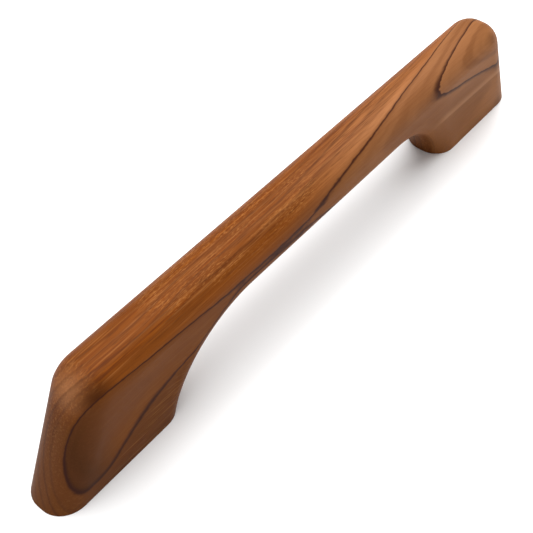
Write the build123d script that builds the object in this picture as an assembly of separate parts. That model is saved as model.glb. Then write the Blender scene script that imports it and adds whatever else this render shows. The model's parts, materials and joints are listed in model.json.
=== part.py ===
from build123d import *
import math
import os

# One-loop teak grab rail for a cabin top or a companionway: a single carved billet with a
# straight hand bar, two spread feet with hollowed sides, and a brass screw insert in each foot.
# Millimetres. +X along the bar, +Y across it, +Z up. The origin is the middle of the base plane.

# ---- driving dimensions of the wood --------------------------------------------------------
LENGTH = 330.0            # over the two feet, at the base
TOP_LENGTH = 278.0        # between the corners that the slanted ends make with the top
HEIGHT = 58.5             # base to top of the bar
WIDTH = 25.0              # across the bar and the feet
BAR_THICKNESS = 25.4      # bar, top to underside
FOOT_LENGTH = 69.5        # each foot where it stands
TOP_CORNER_RADIUS = 15.5  # where a slanted end turns into the top, seen from the side
ARCH_RADIUS = 46.0        # where a foot turns into the underside, seen from the side
EDGE_RADIUS = 11.0        # rounding of every long edge, seen along the bar

# ---- driving dimensions of the hollow in each side of a foot -------------------------------
HOLLOW_HALF_LENGTH = 31.0
HOLLOW_HALF_WIDTH = 16.0
HOLLOW_DEPTH = 2.0
HOLLOW_TILT = 22.0        # degrees, its inner end is the higher one
HOLLOW_CENTRE_X = 116.0   # from the middle of the rail
HOLLOW_CENTRE_Z = 27.5
HOLLOW_RIM_RADIUS = 10.0  # softens the hollow's rim

# ---- driving dimensions of the screw inserts and their holes -------------------------------
INSERT_SPACING = 260.0        # between the two inserts
INSERT_RECESS = 0.5           # an insert's mouth lies this far inside the wood
INSERT_LENGTH = 14.0
INSERT_ROOT_RADIUS = 4.75     # wood thread, between its ridges
INSERT_CREST_RADIUS = 5.5     # wood thread, over its ridges
RIDGE_PITCH = 2.0
RIDGE_COUNT = 6
RIDGE_FOOT = 1.2              # width of a ridge where it meets the root
INSERT_BORE_RADIUS = 2.5      # M6 thread, at its minor diameter
INSERT_MOUTH_RADIUS = 3.2     # countersink that leads the screw in
DRIVE_SLOT_WIDTH = 1.6
DRIVE_SLOT_DEPTH = 1.8
PILOT_CLEARANCE = 5.0         # drilled depth past the insert, for the end of the screw
DRILL_POINT_ANGLE = 118.0     # degrees

# ---- worked out ----------------------------------------------------------------------------
HALF_LENGTH = LENGTH / 2
UNDERSIDE = HEIGHT - BAR_THICKNESS
FOOT_INNER = HALF_LENGTH - FOOT_LENGTH
ARCH_Z = UNDERSIDE - ARCH_RADIUS
ARCH_X = FOOT_INNER - math.sqrt(ARCH_RADIUS**2 - ARCH_Z**2)
ARCH_START = math.degrees(math.asin(-ARCH_Z / ARCH_RADIUS))  # where an arch leaves the base
FROM_BELOW = (Align.CENTER, Align.CENTER, Align.MIN)


def side_outline():
    """Side view of the rail: slanted ends, rounded top corners and an arch under the bar."""
    with BuildSketch(Plane.XZ) as outline:
        with BuildLine():
            Polyline(
                (-FOOT_INNER, 0),
                (-HALF_LENGTH, 0),
                (-TOP_LENGTH / 2, HEIGHT),
                (TOP_LENGTH / 2, HEIGHT),
                (HALF_LENGTH, 0),
                (FOOT_INNER, 0),
            )
            CenterArc((ARCH_X, ARCH_Z), ARCH_RADIUS, ARCH_START, 90 - ARCH_START)
            Line((ARCH_X, UNDERSIDE), (-ARCH_X, UNDERSIDE))
            CenterArc((-ARCH_X, ARCH_Z), ARCH_RADIUS, 90, 90 - ARCH_START)
        make_face()
        top_corners = outline.vertices().filter_by(lambda corner: corner.Y > HEIGHT - 0.01)
        fillet(top_corners, TOP_CORNER_RADIUS)
    return outline.sketch


def on_side(edge):
    """Whether an edge lies in one of the rail's two flat sides."""
    return abs(abs(edge.center().Y) - WIDTH / 2) < 0.01 and edge.bounding_box().size.Y < 0.01


def rounded_blank():
    """The billet sawn to its outline, with every long edge rounded over and the base left square."""
    billet = extrude(side_outline(), WIDTH / 2, both=True)
    long_edges = [edge for edge in billet.edges() if on_side(edge) and edge.bounding_box().max.Z > 0.01]
    return fillet(long_edges, EDGE_RADIUS)


def hollow_cutter():
    """Ring whose outermost stretch dips into the -Y side of the -X foot as a long shallow dish."""
    long_radius = (HOLLOW_HALF_LENGTH**2 + HOLLOW_DEPTH**2) / (2 * HOLLOW_DEPTH)
    short_radius = (HOLLOW_HALF_WIDTH**2 + HOLLOW_DEPTH**2) / (2 * HOLLOW_DEPTH)
    ring = Pos(-long_radius, 0, 0) * Torus(long_radius - short_radius, short_radius)
    dipping = Rot(0, -HOLLOW_TILT, 0) * Rot(0, 0, 90) * ring
    return Pos(-HOLLOW_CENTRE_X, HOLLOW_DEPTH - WIDTH / 2, HOLLOW_CENTRE_Z) * dipping


def carved_rail():
    """The blank with a soft-rimmed hollow in each side of each foot."""
    near_cutter = hollow_cutter()
    far_cutter = near_cutter.mirror(Plane.XZ)
    cutters = [near_cutter, far_cutter, near_cutter.mirror(Plane.YZ), far_cutter.mirror(Plane.YZ)]
    blank = rounded_blank()
    outline_edges = [edge.center() for edge in blank.edges()]
    rail = blank - cutters
    rims = []
    for edge in rail.edges():
        is_new = all((edge.center() - centre).length > 0.01 for centre in outline_edges)
        if is_new and on_side(edge):
            rims.append(edge)
    return fillet(rims, HOLLOW_RIM_RADIUS)


def insert_envelope():
    """Outside of a screw insert on the Z axis: a plug with rings for its coarse wood thread."""
    bottom, top = INSERT_RECESS, INSERT_RECESS + INSERT_LENGTH
    first_ridge = bottom + (INSERT_LENGTH - RIDGE_PITCH * (RIDGE_COUNT - 1)) / 2
    outline = [(0, bottom), (INSERT_ROOT_RADIUS, bottom)]
    for ridge in range(RIDGE_COUNT):
        middle = first_ridge + ridge * RIDGE_PITCH
        outline.append((INSERT_ROOT_RADIUS, middle - RIDGE_FOOT / 2))
        outline.append((INSERT_CREST_RADIUS, middle))
        outline.append((INSERT_ROOT_RADIUS, middle + RIDGE_FOOT / 2))
    outline += [(INSERT_ROOT_RADIUS, top), (0, top)]
    profile = Plane.XZ * make_face(Polyline(outline, close=True))
    return revolve(profile, Axis.Z)


def screw_insert():
    """Brass insert on the Z axis: wood thread outside, M6 bore inside, driver slot in its mouth."""
    mouth = Pos(0, 0, INSERT_RECESS)
    bore = mouth * Cylinder(INSERT_BORE_RADIUS, INSERT_LENGTH, align=FROM_BELOW)
    lead_depth = INSERT_MOUTH_RADIUS - INSERT_BORE_RADIUS
    lead = mouth * Cone(INSERT_MOUTH_RADIUS, INSERT_BORE_RADIUS, lead_depth, align=FROM_BELOW)
    slot = mouth * Box(3 * INSERT_CREST_RADIUS, DRIVE_SLOT_WIDTH, DRIVE_SLOT_DEPTH, align=FROM_BELOW)
    return insert_envelope() - bore - lead - slot


def insert_hole():
    """What is drilled and cut out of a foot for its insert, on the Z axis."""
    mouth = Cylinder(INSERT_CREST_RADIUS, INSERT_RECESS, align=FROM_BELOW)
    depth = INSERT_RECESS + INSERT_LENGTH + PILOT_CLEARANCE
    pilot = Cylinder(INSERT_ROOT_RADIUS, depth, align=FROM_BELOW)
    point_height = INSERT_ROOT_RADIUS / math.tan(math.radians(DRILL_POINT_ANGLE / 2))
    point = Pos(0, 0, depth) * Cone(INSERT_ROOT_RADIUS, 0, point_height, align=FROM_BELOW)
    return mouth + pilot + point + insert_envelope()


os.makedirs("parts", exist_ok=True)

rail_body = carved_rail()
for side_name, direction in (("left", -1), ("right", 1)):
    place = Pos(direction * INSERT_SPACING / 2, 0, 0)
    rail_body = rail_body - place * insert_hole()
    export_step(place * screw_insert(), f"parts/screw_insert_{side_name}.step")
export_step(rail_body, "parts/rail_body.step")
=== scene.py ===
import json
import math
from collections import namedtuple

import bmesh
import bpy
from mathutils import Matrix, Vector

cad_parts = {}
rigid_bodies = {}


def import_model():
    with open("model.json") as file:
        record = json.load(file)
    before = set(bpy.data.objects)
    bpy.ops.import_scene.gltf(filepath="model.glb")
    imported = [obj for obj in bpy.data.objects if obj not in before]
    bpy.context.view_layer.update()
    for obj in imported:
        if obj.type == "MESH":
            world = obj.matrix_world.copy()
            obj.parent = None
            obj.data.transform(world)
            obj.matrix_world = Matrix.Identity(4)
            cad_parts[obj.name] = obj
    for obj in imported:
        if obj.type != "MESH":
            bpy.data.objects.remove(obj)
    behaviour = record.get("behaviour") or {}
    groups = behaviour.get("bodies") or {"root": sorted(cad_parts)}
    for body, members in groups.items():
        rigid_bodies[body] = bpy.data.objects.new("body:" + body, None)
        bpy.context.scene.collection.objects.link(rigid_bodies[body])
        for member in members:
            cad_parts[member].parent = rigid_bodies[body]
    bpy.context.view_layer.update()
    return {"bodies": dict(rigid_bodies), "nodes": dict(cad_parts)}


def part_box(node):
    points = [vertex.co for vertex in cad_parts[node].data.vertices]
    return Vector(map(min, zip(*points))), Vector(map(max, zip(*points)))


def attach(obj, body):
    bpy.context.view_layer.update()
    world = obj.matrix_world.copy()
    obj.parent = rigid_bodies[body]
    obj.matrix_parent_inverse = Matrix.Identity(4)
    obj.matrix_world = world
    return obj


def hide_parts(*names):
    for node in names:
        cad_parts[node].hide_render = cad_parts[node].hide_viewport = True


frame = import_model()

# The looks of a one-loop teak grab rail: the carved rail as one clean mesh in place of its CAD
# body, the teak and brass finishes, a pale floor, soft light and the camera. Metres.

rail_low, rail_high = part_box("rail_body")
body_name = next(iter(frame["bodies"]))

# ---- size of the carved rail ----------------------------------------------------------------
HALF_LENGTH = rail_high.x
HALF_WIDTH = rail_high.y
HEIGHT = rail_high.z
HALF_TOP_LENGTH = 0.139       # to the corner that a slanted end makes with the top
BAR_THICKNESS = 0.0254
FOOT_LENGTH = 0.0695
TOP_CORNER_RADIUS = 0.0155
ARCH_RADIUS = 0.046
EDGE_RADIUS = 0.011

# ---- hollow in each side of a foot ----------------------------------------------------------
HOLLOW_X = 0.116
HOLLOW_Z = 0.0275
HOLLOW_HALF_LENGTH = 0.036
HOLLOW_HALF_WIDTH = 0.020
HOLLOW_DEPTH = 0.0014
HOLLOW_TILT = 22.0            # degrees, its inner end is the higher one

# ---- insert holes ---------------------------------------------------------------------------
CREST_RADIUS = 0.0055
PILOT_RADIUS = 0.00475
RIDGE_PITCH = 0.002
RIDGE_COUNT = 6
RIDGE_FOOT = 0.0012
PILOT_CLEARANCE = 0.005
DRILL_POINT_ANGLE = math.radians(118)
INSERT_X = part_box("screw_insert_right")[0].x + CREST_RADIUS

# ---- main growth ring (mm) ------------------------------------------------------------------
# The main ring is a sheet through the wood. It stands off the near side by whichever is the most of
# three shapes: a lobe on the left foot, a thin strip along the bar and a slanted plane on the right.
# Each sloping line is given by its slope along the rail and its value at the middle of the rail.
NEAR_SIDE_Y = -12.5
LOBE_TOP_SLOPE, LOBE_TOP_Z = -0.11, 40.1
LOBE_BOTTOM_SLOPE, LOBE_BOTTOM_Z = 0.45, 71.2
LOBE_LOWEST_Z, LOBE_LOWEST_BLEND = 8.2, 3.5
LOBE_FULLNESS, LOBE_SOFTNESS = 0.31, 1.5
STRIP_SLOPE, STRIP_HEIGHT, STRIP_BLEND = 0.04, 0.9, 0.8
STRIP_END_SLOPE, STRIP_END_HEIGHT = 0.09, 5.85    # where the strip runs out on the left
STRIP_LEAST = 0.15
CREST_Z, CREST_CURVE, CREST_MOST = 45.5, 0.09, 1.0      # the strip falls away from this height
CREST_START_X, CREST_END_X = (-78.0, -62.0), (-25.0, 20.0)
PLANE_SLOPE_X, PLANE_SLOPE_Z, PLANE_HEIGHT = 0.17, 0.6, -36.9
TWIST_X, TWIST_Z, TWIST_RATE = 95.0, 48.0, 0.004        # the plane twists right of this place
STRIP_JOIN, PLANE_JOIN, TWIST_JOIN = 1.0, 12.0, 10.0    # how softly the shapes run together

# A ring strays over long stretches and over short ones: variations per mm along and across the
# rail, and how far.
WANDER_ALONG, WANDER_ACROSS, WANDER = 0.012, 0.05, 0.6
TREMBLE_ALONG, TREMBLE_ACROSS, TREMBLE = 0.2, 0.45, 0.7

# ---- dark line that each ring draws (mm) -----------------------------------------------------
Ring = namedtuple("Ring", "place strength fade_below fade_above")
MAIN_RING = Ring(0.0, 1.0, 0.6, 0.45)
OTHER_RINGS = [
    Ring(-17.5, 0.5, 0.8, 2.5),
    Ring(-8.0, 1.0, 0.2, 1.3),
    Ring(6.5, 0.25, 1.6, 0.8),
    Ring(10.5, 0.4, 1.6, 0.6),
    Ring(15.0, 0.3, 1.8, 0.8),
    Ring(19.0, 0.25, 1.6, 0.7),
    Ring(23.5, 0.35, 1.6, 0.6),
    Ring(27.0, 0.3, 1.6, 0.8),
    Ring(31.0, 1.0, 0.9, 0.15),
]
RING_SHARE = 0.94
FAINT_X, FAINT_Z, FAINT_LOSS = (60.0, 85.0), (20.0, 34.0), 0.7        # low on the right arch
BROAD_X, BROAD_Z, BROAD_GAIN = (-110.0, -80.0), (24.0, 34.0), 0.55    # low on the left foot

# ---- grain -----------------------------------------------------------------------------------
# Variations per mm along and across the rail, their detail and roughness, the noise values between
# which the grain shows, its strength in figured wood and everywhere, and its colour.
Grain = namedtuple("Grain", "along across detail roughness shows figured everywhere tint")
DARK_STREAKS = Grain(0.012, 1.1, 3.0, 0.6, (0.5, 0.62), 0.34, 0.1, (92, 38, 8))
PALE_STREAKS = Grain(0.02, 1.3, 2.0, 0.5, (0.5, 0.66), 0.24, 0.08, (166, 108, 58))
PORES = Grain(0.1, 2.6, 2.0, 0.5, (0.5, 0.7), 0.42, 0.08, (66, 30, 8))

# The wood is figured inside the main ring, except at the two ends of the rail.
FIGURED_DEPTH, FIGURED_START_X, FIGURED_END_X = (0.5, 5.0), (-160.0, -140.0), (145.0, 160.0)

# There is little grain outside the main ring at the left end.
CALM_X, CALM_LEAST, CALM_DEPTH = (-150.0, -105.0), 0.25, (0.0, 1.5)

# Flecks gather in patches on the left half of the top.
FLECK_ALONG, FLECK_ACROSS, FLECK_SHOWS, FLECK_SHARE = 0.5, 4.2, (0.55, 0.72), 0.28
PATCH_ALONG, PATCH_ACROSS, PATCH_SHOWS = 0.025, 0.12, (0.4, 0.6)
PATCH_START_X, PATCH_END_X = (-130.0, -90.0), (-10.0, 30.0)

# ---- where the ground colour changes (mm), as the start and the end of each change -----------
# The top's colours take over between these heights; for the orange inside the main ring the top's is
# lighter, painted light from above.
UPPER_Z = (36.0, 54.0)
# Painted shade: over this stretch the brown outside the main ring darkens towards the left end.
LEFT_TIP_X = (-152.0, -126.0)
RIGHTWARD_X = (-60.0, 110.0)
TOP_RIGHTWARD_X = (-20.0, 60.0)
RIGHT_TIP_X, RIGHT_TIP_LEAST = (95.0, 150.0), 0.6
PALE_X, PALE_Y, PALE_LEAST = (-40.0, 60.0), (-13.0, 14.0), 0.1
INSIDE_RING = (-0.6, 1.5)
TONE_ALONG, TONE_ACROSS_RINGS, TONE_UP, TONE_DETAIL = 0.012, 0.3, 0.02, 3.0
TONE_SHOWS, TONE_SHARE = (0.38, 0.62), 0.4

# ---- single marks and painted light (mm) -----------------------------------------------------
SEAM_SLOPE_X, SEAM_SLOPE_Y, SEAM_Z = 0.04, 1.81, 10.2    # a pale sheet low in the right foot
SEAM_SHARP, SEAM_SOFT = (-1.0, 0.3), (0.3, 5.0)          # its lower face and its upper one
SEAM_X, SEAM_Y, SEAM_SHARE = (80.0, 96.0), (-10.5, -6.0), 0.32
# Painted highlight: a pale pink patch on the rounded top corner at the left end.
HIGHLIGHT_PLACE, HIGHLIGHT_REACH, HIGHLIGHT_SHARE = (-143.0, -1.0, 56.0), 14.0, 0.5
# Painted shade: a dark spot on the near side just below the left top corner, only where the wood is inside
# the main ring.
SHADE_SPOT_PLACE, SHADE_SPOT_REACH, SHADE_SPOT_SHARE = (-135.0, -11.0, 51.5), 12.0, 0.85
SHADE_SPOT_DEPTH = (-0.4, 0.6)

# ---- colours of the wood, as 0 to 255 screen values ------------------------------------------
# Painted shade: the dark brown of the left tip.
SHADED_LEFT_TIP_BROWN = (68, 34, 3)
LEFT_BROWN = (110, 60, 15)
RIGHT_BROWN = (136, 86, 44)
RIGHT_TOP_BROWN = (138, 90, 55)
# Painted light: one orange, shaded on the lower sides and lit on the top.
SHADED_LOW_ORANGE = (98, 54, 16)
LIT_TOP_ORANGE = (121, 63, 14)
PALE_ORANGE = (166, 112, 72)
TONE_BROWN = (90, 47, 18)
FLECK_YELLOW = (198, 134, 72)
SEAM_BEIGE = (186, 138, 98)
# Painted highlight on the left top corner.
HIGHLIGHT_PINK = (176, 124, 86)
# Painted shade spot below the left top corner.
SHADE_SPOT_DARK = (58, 26, 6)
RING_DARK = (50, 20, 12)
WOOD_ROUGHNESS, WOOD_SHEEN = 0.5, 0.05

# ---- stage ----------------------------------------------------------------------------------
FLOOR_REACH, FLOOR_WHITE, FLOOR_ROUGHNESS = 6.0, 0.9, 0.9
SKY_STRENGTH = 0.45
LIGHT_PLACE, LIGHT_SIZE, LIGHT_POWER = (0.4, 0.35, 1.8), 2.2, 64.0
CAMERA_TARGET, CAMERA_DISTANCE = Vector((-0.03533, -0.00524, 0.02925)), 0.4098
CAMERA_AZIMUTH, CAMERA_ELEVATION = math.radians(-140.42), math.radians(49.758)
CAMERA_LENS, CAMERA_SENSOR = 65.24, 36.0    # millimetres

# ---- how finely the wood is meshed ----------------------------------------------------------
END_STEPS = 24                # rows of quads up a slanted end
CORNER_STEPS = 10             # round a top corner
SHOULDER_STEPS = 36           # along the top, as far in as the arch goes
BAR_STEPS = 20                # on to the middle of the bar
FLAT_STEPS = 1                # from the middle of the wood to a rounded edge
EDGE_STEPS = 10               # round each rounded edge
SIDE_STEPS = 20               # across a side
BASE_STEPS = 5                # across a foot's base, from its rim to the insert hole
SHARP_ANGLE = math.radians(35)

# ---- worked out -----------------------------------------------------------------------------
END_SLANT = math.atan2(HALF_LENGTH - HALF_TOP_LENGTH, HEIGHT)
END_NORMAL_X, END_NORMAL_Z = math.cos(END_SLANT), math.sin(END_SLANT)
CORNER_Z = HEIGHT - TOP_CORNER_RADIUS
CORNER_X = (HALF_LENGTH * END_NORMAL_X - TOP_CORNER_RADIUS - CORNER_Z * END_NORMAL_Z) / END_NORMAL_X
UNDERSIDE = HEIGHT - BAR_THICKNESS
ARCH_Z = UNDERSIDE - ARCH_RADIUS
ARCH_X = HALF_LENGTH - FOOT_LENGTH - math.sqrt(ARCH_RADIUS**2 - ARCH_Z**2)
QUARTER = math.pi / 2


def mix(start, end, share):
    return start + (end - start) * share


def on_end(share, inset):
    """Point (x, z) up a slanted end, share 0 at the base and 1 at the corner, moved into the wood."""
    start_x = HALF_LENGTH - inset / END_NORMAL_X
    end_x = CORNER_X + (TOP_CORNER_RADIUS - inset) * END_NORMAL_X
    end_z = CORNER_Z + (TOP_CORNER_RADIUS - inset) * END_NORMAL_Z
    return mix(start_x, end_x, share), end_z * share


def on_corner(share, inset):
    """Point round a top corner, from the slanted end to the top."""
    turn = mix(END_SLANT, QUARTER, share)
    radius = TOP_CORNER_RADIUS - inset
    return CORNER_X + radius * math.cos(turn), CORNER_Z + radius * math.sin(turn)


def on_arch(share, inset):
    """Point up an arch, from the base to where it meets the straight underside."""
    radius = ARCH_RADIUS + inset
    turn = mix(math.asin(-ARCH_Z / radius), QUARTER, share)
    return ARCH_X + radius * math.cos(turn), ARCH_Z + radius * math.sin(turn)


def row_makers():
    """The rows from a foot's base to the middle of the bar, as (outer point, inner point) makers."""
    rows = []
    bent = END_STEPS + CORNER_STEPS + SHOULDER_STEPS
    for step in range(END_STEPS + 1):
        rows.append((lambda inset, s=step / END_STEPS: on_end(s, inset), step / bent))
    for step in range(1, CORNER_STEPS + 1):
        rows.append((lambda inset, s=step / CORNER_STEPS: on_corner(s, inset), (END_STEPS + step) / bent))
    for step in range(1, SHOULDER_STEPS + 1):
        x = mix(CORNER_X, ARCH_X, step / SHOULDER_STEPS)
        arch_share = (END_STEPS + CORNER_STEPS + step) / bent
        rows.append((lambda inset, x=x: (x, HEIGHT - inset), arch_share))
    makers = [(outer, lambda inset, s=s: on_arch(s, inset)) for outer, s in rows]
    for step in range(1, BAR_STEPS + 1):
        x = mix(ARCH_X, 0.0, step / BAR_STEPS)
        makers.append((lambda inset, x=x: (x, HEIGHT - inset), lambda inset, x=x: (x, UNDERSIDE + inset)))
    return makers


def hollow_depth(x, z):
    """How far the hollow in a foot's side goes in at (x, z), soft at its rim."""
    tilt = math.radians(HOLLOW_TILT)
    along = ((HOLLOW_X - x) * math.cos(tilt) + (z - HOLLOW_Z) * math.sin(tilt)) / HOLLOW_HALF_LENGTH
    across = ((x - HOLLOW_X) * math.sin(tilt) + (z - HOLLOW_Z) * math.cos(tilt)) / HOLLOW_HALF_WIDTH
    within = max(1 - along**2 - across**2, 0.0)
    return HOLLOW_DEPTH * within * within


def half_ring(outer, inner):
    """Points of one row for y from 0 up to the side and back to 0: the inner face, then the outer one."""
    flat = HALF_WIDTH - EDGE_RADIUS
    points = []
    for step in range(FLAT_STEPS):
        x, z = inner(0.0)
        points.append((x, flat * step / FLAT_STEPS, z))
    for step in range(EDGE_STEPS + 1):
        turn = QUARTER * step / EDGE_STEPS
        x, z = inner(EDGE_RADIUS * (1 - math.cos(turn)))
        points.append((x, flat + EDGE_RADIUS * math.sin(turn), z))
    low_x, low_z = inner(EDGE_RADIUS)
    high_x, high_z = outer(EDGE_RADIUS)
    for step in range(1, SIDE_STEPS):
        x = mix(low_x, high_x, step / SIDE_STEPS)
        z = mix(low_z, high_z, step / SIDE_STEPS)
        points.append((x, HALF_WIDTH - hollow_depth(x, z), z))
    for step in range(EDGE_STEPS, -1, -1):
        turn = QUARTER * step / EDGE_STEPS
        x, z = outer(EDGE_RADIUS * (1 - math.cos(turn)))
        points.append((x, flat + EDGE_RADIUS * math.sin(turn), z))
    for step in range(FLAT_STEPS - 1, -1, -1):
        x, z = outer(0.0)
        points.append((x, flat * step / FLAT_STEPS, z))
    return points


def full_ring(outer, inner):
    """Points of one whole row, all the way round the wood."""
    half = half_ring(outer, inner)
    return half + [(x, -y, z) for x, y, z in reversed(half[1:-1])]


def hole_outline():
    """(radius, height) of an insert hole from its mouth up to the tip of its drill point."""
    insert_low, insert_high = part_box("screw_insert_right")
    first_ridge = (insert_low.z + insert_high.z - RIDGE_PITCH * (RIDGE_COUNT - 1)) / 2
    outline = [(CREST_RADIUS, 0.0), (CREST_RADIUS, insert_low.z), (PILOT_RADIUS, insert_low.z)]
    for ridge in range(RIDGE_COUNT):
        middle = first_ridge + ridge * RIDGE_PITCH
        outline.append((PILOT_RADIUS, middle - RIDGE_FOOT / 2))
        outline.append((CREST_RADIUS, middle))
        outline.append((PILOT_RADIUS, middle + RIDGE_FOOT / 2))
    pilot_end = insert_high.z + PILOT_CLEARANCE
    outline.append((PILOT_RADIUS, pilot_end))
    outline.append((0.0, pilot_end + PILOT_RADIUS / math.tan(DRILL_POINT_ANGLE / 2)))
    return outline


def add_ring(mesh, points):
    return [mesh.verts.new(point) for point in points]


def join_rings(mesh, first, second):
    """Quads between two closed rings of as many points."""
    count = len(first)
    for i in range(count):
        j = (i + 1) % count
        mesh.faces.new((first[i], first[j], second[j], second[i]))


def add_base_and_hole(mesh, rim, direction):
    """The flat base of one foot, and the hole for its insert, from the lowest row of the wood."""
    middle_x = direction * INSERT_X
    turns = [math.atan2(vert.co.y, vert.co.x - middle_x) for vert in rim]
    previous = rim
    for step in range(1, BASE_STEPS + 1):
        points = []
        for vert, turn in zip(rim, turns):
            mouth_x = middle_x + CREST_RADIUS * math.cos(turn)
            mouth_y = CREST_RADIUS * math.sin(turn)
            share = step / BASE_STEPS
            points.append((mix(vert.co.x, mouth_x, share), mix(vert.co.y, mouth_y, share), 0.0))
        ring = add_ring(mesh, points)
        join_rings(mesh, previous, ring)
        previous = ring
    for radius, height in hole_outline()[1:-1]:
        points = [(middle_x + radius * math.cos(turn), radius * math.sin(turn), height) for turn in turns]
        ring = add_ring(mesh, points)
        join_rings(mesh, previous, ring)
        previous = ring
    tip = mesh.verts.new((middle_x, 0.0, hole_outline()[-1][1]))
    for i in range(len(previous)):
        j = (i + 1) % len(previous)
        mesh.faces.new((previous[i], previous[j], tip))


def carved_rail():
    """The whole rail as one closed skin, row after row from the left foot's base to the right one's."""
    makers = row_makers()
    half_rows = [full_ring(outer, inner) for outer, inner in makers]
    left_rows = [[(-x, y, z) for x, y, z in row] for row in half_rows]
    mesh = bmesh.new()
    rings = [add_ring(mesh, row) for row in left_rows]
    rings += [add_ring(mesh, row) for row in reversed(half_rows[:-1])]
    for first, second in zip(rings, rings[1:]):
        join_rings(mesh, first, second)
    add_base_and_hole(mesh, rings[0], -1)
    add_base_and_hole(mesh, rings[-1], 1)
    bmesh.ops.recalc_face_normals(mesh, faces=mesh.faces)
    for face in mesh.faces:
        face.smooth = True
    for edge in mesh.edges:
        edge.smooth = edge.calc_face_angle(0.0) < SHARP_ANGLE
    data = bpy.data.meshes.new("carved_rail")
    mesh.to_mesh(data)
    mesh.free()
    piece = bpy.data.objects.new("carved_rail", data)
    bpy.context.scene.collection.objects.link(piece)
    return piece


# ---- materials -------------------------------------------------------------------------------
def colour(red, green, blue):
    """A colour given as 0 to 255 screen values, as the linear values a shader takes."""
    linear = []
    for value in (red, green, blue):
        share = value / 255
        linear.append(share / 12.92 if share <= 0.04045 else ((share + 0.055) / 1.055) ** 2.4)
    return (*linear, 1.0)


def new_material(name):
    """An empty node material; returns it with its node tree and its shader."""
    material = bpy.data.materials.new(name)
    material.use_nodes = True
    return material, material.node_tree, material.node_tree.nodes["Principled BSDF"]


def plug(tree, value, socket):
    """Feeds a socket from a Field, from another socket, or with a constant."""
    if isinstance(value, Field):
        tree.links.new(value.socket, socket)
    elif isinstance(value, bpy.types.NodeSocket):
        tree.links.new(value, socket)
    else:
        socket.default_value = value


class Field:
    """A number that varies through a material, made by shader nodes and used like a plain number."""

    def __init__(self, tree, socket):
        self.tree = tree
        self.socket = socket

    def math(self, operation, *others):
        node = self.tree.nodes.new("ShaderNodeMath")
        node.operation = operation
        for value, socket in zip((self, *others), node.inputs):
            plug(self.tree, value, socket)
        return Field(self.tree, node.outputs[0])

    def __add__(self, other):
        return self.math("ADD", other)

    def __sub__(self, other):
        return self.math("SUBTRACT", other)

    def __mul__(self, other):
        return self.math("MULTIPLY", other)

    def larger(self, other, blend=0.0):
        return self.math("SMOOTH_MAX", other, blend)

    def smaller(self, other):
        return self.math("MINIMUM", other)

    def step(self, low, high, low_result=0.0, high_result=1.0):
        """Smooth change from low_result to high_result while this goes from low to high."""
        node = self.tree.nodes.new("ShaderNodeMapRange")
        node.interpolation_type = "SMOOTHSTEP"
        for value, place in zip((self, low, high, low_result, high_result), range(5)):
            plug(self.tree, value, node.inputs[place])
        return Field(self.tree, node.outputs[0])

    def fade(self, low, high, least=0.0):
        """Smooth change from 1 to least while this goes from low to high."""
        return self.step(low, high, 1.0, least)


def object_place(tree):
    """The place in the wood, x, y and z in millimetres."""
    source = tree.nodes.new("ShaderNodeTexCoord")
    split = tree.nodes.new("ShaderNodeSeparateXYZ")
    tree.links.new(source.outputs["Object"], split.inputs[0])
    return [Field(tree, axis) * 1000.0 for axis in split.outputs]


def noise(x, y, z, detail=2.0, roughness=0.5):
    """Soft random variation, 0 to 1, over a place whose unit is one blotch."""
    tree = x.tree
    place = tree.nodes.new("ShaderNodeCombineXYZ")
    for value, socket in zip((x, y, z), place.inputs):
        plug(tree, value, socket)
    source = tree.nodes.new("ShaderNodeTexNoise")
    tree.links.new(place.outputs[0], source.inputs["Vector"])
    source.inputs["Scale"].default_value = 1.0
    source.inputs["Detail"].default_value = detail
    source.inputs["Roughness"].default_value = roughness
    return Field(tree, source.outputs[0])


def blend(share, first, second):
    """The colour first where share is 0, and second where share is 1."""
    tree = share.tree
    node = tree.nodes.new("ShaderNodeMix")
    node.data_type = "RGBA"
    plug(tree, share, node.inputs["Factor"])
    plug(tree, first, node.inputs[6])
    plug(tree, second, node.inputs[7])
    return node.outputs[2]


def ring_sheet(x, z):
    """The y at which the main ring passes, at a place along the rail and up it."""
    top = x * LOBE_TOP_SLOPE + LOBE_TOP_Z
    bottom = x * LOBE_BOTTOM_SLOPE + LOBE_BOTTOM_Z
    bottom = bottom.larger(LOBE_LOWEST_Z, LOBE_LOWEST_BLEND).smaller(top)
    half_height = (top - bottom) * 0.5
    lobe = ((z - bottom) * (top - z) * LOBE_FULLNESS).math("DIVIDE", half_height + LOBE_SOFTNESS)

    strip = (x * STRIP_SLOPE + STRIP_HEIGHT).larger(0.0, STRIP_BLEND)
    strip = strip.smaller(x * STRIP_END_SLOPE + STRIP_END_HEIGHT) + STRIP_LEAST
    off_crest = z - CREST_Z
    drop = (off_crest * off_crest * CREST_CURVE).smaller(CREST_MOST)
    drop = drop * x.step(*CREST_START_X) * x.fade(*CREST_END_X)

    twist = (x - TWIST_X).larger(0.0, TWIST_JOIN) * (z - TWIST_Z) * TWIST_RATE
    plane = x * PLANE_SLOPE_X + z * PLANE_SLOPE_Z + twist + PLANE_HEIGHT
    return lobe.larger(strip - drop, STRIP_JOIN).larger(plane, PLANE_JOIN) + NEAR_SIDE_Y


def growth(x, y, z):
    """Growth of the tree at a place, in millimetres across the rings; the main ring is at 0."""
    wander = noise(x * WANDER_ALONG, y * WANDER_ACROSS, z * WANDER_ACROSS) - 0.5
    tremble = noise(x * TREMBLE_ALONG, y * TREMBLE_ACROSS, z * TREMBLE_ACROSS) - 0.5
    return y - ring_sheet(x, z) + wander * WANDER + tremble * TREMBLE


def ring_line(depth, ring):
    """Where one ring shows, fading out on its two sides."""
    inner = depth.step(ring.place - ring.fade_below, ring.place)
    outer = depth.fade(ring.place, ring.place + ring.fade_above)
    return inner * outer * ring.strength


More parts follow.
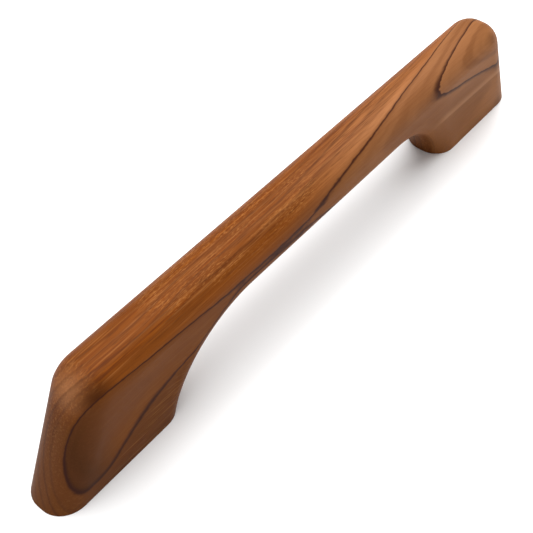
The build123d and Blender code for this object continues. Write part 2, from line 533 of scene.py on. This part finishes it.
def nearness(place, centre, reach):
    """1 at a point in the wood, fading to 0 at this distance from it."""
    total = None
    for axis, middle in zip(place, centre):
        offset = axis - middle
        total = offset * offset if total is None else total + offset * offset
    return total.math("SQRT").fade(0.0, reach)


def ground(x, y, z, depth):
    """Colour of the wood without grain or marks: brown outside the main ring, orange inside it, with
    painted shade at the left tip and painted light on the top.
    """
    upper = z.step(*UPPER_Z)
    # Painted shade: darkest brown at the left tip.
    outside = blend(x.step(*LEFT_TIP_X), colour(*SHADED_LEFT_TIP_BROWN), colour(*LEFT_BROWN))
    outside = blend(x.step(*RIGHTWARD_X), outside, colour(*RIGHT_BROWN))
    top_share = upper * x.step(*TOP_RIGHTWARD_X) * x.fade(*RIGHT_TIP_X, RIGHT_TIP_LEAST)
    outside = blend(top_share, outside, colour(*RIGHT_TOP_BROWN))
    # Painted light: a lighter orange on the top than on the lower sides.
    inside = blend(upper, colour(*SHADED_LOW_ORANGE), colour(*LIT_TOP_ORANGE))
    pale_share = upper * x.step(*PALE_X) * y.fade(*PALE_Y, PALE_LEAST)
    inside = blend(pale_share, inside, colour(*PALE_ORANGE))
    base = blend(depth.step(*INSIDE_RING), outside, inside)
    tone = noise(x * TONE_ALONG, depth * TONE_ACROSS_RINGS, z * TONE_UP, TONE_DETAIL)
    return blend(tone.step(*TONE_SHOWS) * TONE_SHARE, base, colour(*TONE_BROWN))


def with_grain(base, x, y, z, depth):
    """The streaks and pores that run along the rail, and flecks in a patch of its top."""
    figured = depth.step(*FIGURED_DEPTH) * x.step(*FIGURED_START_X) * x.fade(*FIGURED_END_X)
    calm = x.step(*CALM_X, CALM_LEAST, 1.0).larger(depth.step(*CALM_DEPTH))
    for grain in (DARK_STREAKS, PALE_STREAKS, PORES):
        pattern = noise(x * grain.along, y * grain.across, z * grain.across, grain.detail, grain.roughness)
        share = pattern.step(*grain.shows) * (figured * grain.figured + grain.everywhere) * calm
        base = blend(share, base, colour(*grain.tint))
    patch = noise(x * PATCH_ALONG, y * PATCH_ACROSS, z * PATCH_ACROSS)
    patch = patch * x.step(*PATCH_START_X) * x.fade(*PATCH_END_X)
    fleck = noise(x * FLECK_ALONG, y * FLECK_ACROSS, z * FLECK_ACROSS, 0.0)
    share = fleck.step(*FLECK_SHOWS) * patch.step(*PATCH_SHOWS) * figured * FLECK_SHARE
    return blend(share, base, colour(*FLECK_YELLOW))


def with_seam_and_painted_light(base, x, y, z, depth):
    """The pale seam in the right foot, a painted highlight on the left top corner and a painted shade spot
    beside it.
    """
    seam = z + x * SEAM_SLOPE_X + y * SEAM_SLOPE_Y - SEAM_Z
    seam_share = seam.step(*SEAM_SHARP) * seam.fade(*SEAM_SOFT) * x.step(*SEAM_X) * y.fade(*SEAM_Y)
    base = blend(seam_share * SEAM_SHARE, base, colour(*SEAM_BEIGE))
    # Painted highlight on the left top corner.
    highlight_share = nearness((x, y, z), HIGHLIGHT_PLACE, HIGHLIGHT_REACH) * HIGHLIGHT_SHARE
    base = blend(highlight_share, base, colour(*HIGHLIGHT_PINK))
    # Painted shade spot below the left top corner.
    shade_spot_share = nearness((x, y, z), SHADE_SPOT_PLACE, SHADE_SPOT_REACH) * depth.step(*SHADE_SPOT_DEPTH) * SHADE_SPOT_SHARE
    return blend(shade_spot_share, base, colour(*SHADE_SPOT_DARK))


def with_rings(base, x, z, depth):
    """The dark lines of the growth rings; the main one is fainter and broader in two places."""
    faint = x.step(*FAINT_X) * z.fade(*FAINT_Z)
    broad = x.fade(*BROAD_X) * z.fade(*BROAD_Z)
    rings = ring_line(depth * (broad * -BROAD_GAIN + 1.0), MAIN_RING) * (faint * -FAINT_LOSS + 1.0)
    for ring in OTHER_RINGS:
        rings = rings.larger(ring_line(depth, ring))
    return blend(rings * RING_SHARE, base, colour(*RING_DARK))


def teak():
    """Oiled teak, with the growth rings as surfaces through the wood and the grain along the bar."""
    material, tree, shader = new_material("teak")
    x, y, z = object_place(tree)
    depth = growth(x, y, z)
    base = ground(x, y, z, depth)
    base = with_grain(base, x, y, z, depth)
    base = with_seam_and_painted_light(base, x, y, z, depth)
    base = with_rings(base, x, z, depth)
    tree.links.new(base, shader.inputs["Base Color"])
    shader.inputs["Roughness"].default_value = WOOD_ROUGHNESS
    shader.inputs["Specular IOR Level"].default_value = WOOD_SHEEN
    return material


def brass():
    """Machined brass with fine turning marks and a slight tarnish."""
    material, tree, shader = new_material("brass")
    x, y, z = object_place(tree)
    tarnish = noise(x * 0.6, y * 0.6, z * 0.6, 4.0)
    turning = noise(x * 0.05, y * 0.05, z * 9.0, 2.0)
    base = blend(tarnish.step(0.4, 0.75) * 0.6, colour(214, 176, 98), colour(150, 112, 58))
    tree.links.new(base, shader.inputs["Base Color"])
    tree.links.new(turning.step(0.2, 0.8, 0.24, 0.42).socket, shader.inputs["Roughness"])
    shader.inputs["Metallic"].default_value = 1.0
    return material


rail = carved_rail()
rail.data.materials.append(teak())
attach(rail, body_name)
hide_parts("rail_body")

insert_brass = brass()
for side_name in ("left", "right"):
    insert = frame["nodes"]["screw_insert_" + side_name]
    for slot in insert.material_slots:
        slot.material = insert_brass

# ---- floor -----------------------------------------------------------------------------------
floor_mesh = bpy.data.meshes.new("floor")
floor_corners = [(x * FLOOR_REACH, y * FLOOR_REACH, 0) for x, y in ((-1, -1), (1, -1), (1, 1), (-1, 1))]
floor_mesh.from_pydata(floor_corners, [], [(0, 1, 2, 3)])
floor = bpy.data.objects.new("floor", floor_mesh)
bpy.context.scene.collection.objects.link(floor)
floor_material, _, floor_shader = new_material("pale_floor")
floor_shader.inputs["Base Color"].default_value = (FLOOR_WHITE, FLOOR_WHITE, FLOOR_WHITE, 1)
floor_shader.inputs["Roughness"].default_value = FLOOR_ROUGHNESS
floor_shader.inputs["Specular IOR Level"].default_value = 0.0
floor_mesh.materials.append(floor_material)

# ---- light -----------------------------------------------------------------------------------
world = bpy.data.worlds.new("studio")
bpy.context.scene.world = world
world.use_nodes = True
backdrop = world.node_tree.nodes["Background"]
backdrop.inputs["Color"].default_value = (1.0, 1.0, 1.0, 1)
backdrop.inputs["Strength"].default_value = SKY_STRENGTH
bpy.context.scene.view_settings.view_transform = "Standard"

lamp_data = bpy.data.lights.new("softbox", "AREA")
lamp_data.shape = "DISK"
lamp_data.size = LIGHT_SIZE
lamp_data.energy = LIGHT_POWER
lamp = bpy.data.objects.new("softbox", lamp_data)
lamp.location = LIGHT_PLACE
lamp.rotation_euler = (-Vector(LIGHT_PLACE)).to_track_quat("-Z", "Y").to_euler()
bpy.context.scene.collection.objects.link(lamp)

# ---- camera ----------------------------------------------------------------------------------
camera_data = bpy.data.cameras.new("camera")
camera_data.lens = CAMERA_LENS
camera_data.sensor_width = CAMERA_SENSOR
camera = bpy.data.objects.new("camera", camera_data)
to_camera = Vector((math.cos(CAMERA_ELEVATION) * math.cos(CAMERA_AZIMUTH),
                    math.cos(CAMERA_ELEVATION) * math.sin(CAMERA_AZIMUTH),
                    math.sin(CAMERA_ELEVATION)))
camera.location = CAMERA_TARGET + CAMERA_DISTANCE * to_camera
camera.rotation_euler = (CAMERA_TARGET - camera.location).to_track_quat("-Z", "Y").to_euler()
bpy.context.scene.collection.objects.link(camera)
bpy.context.scene.camera = camera

# ---- last update of the scene ------------------------------------------------------------------
bpy.context.view_layer.update()
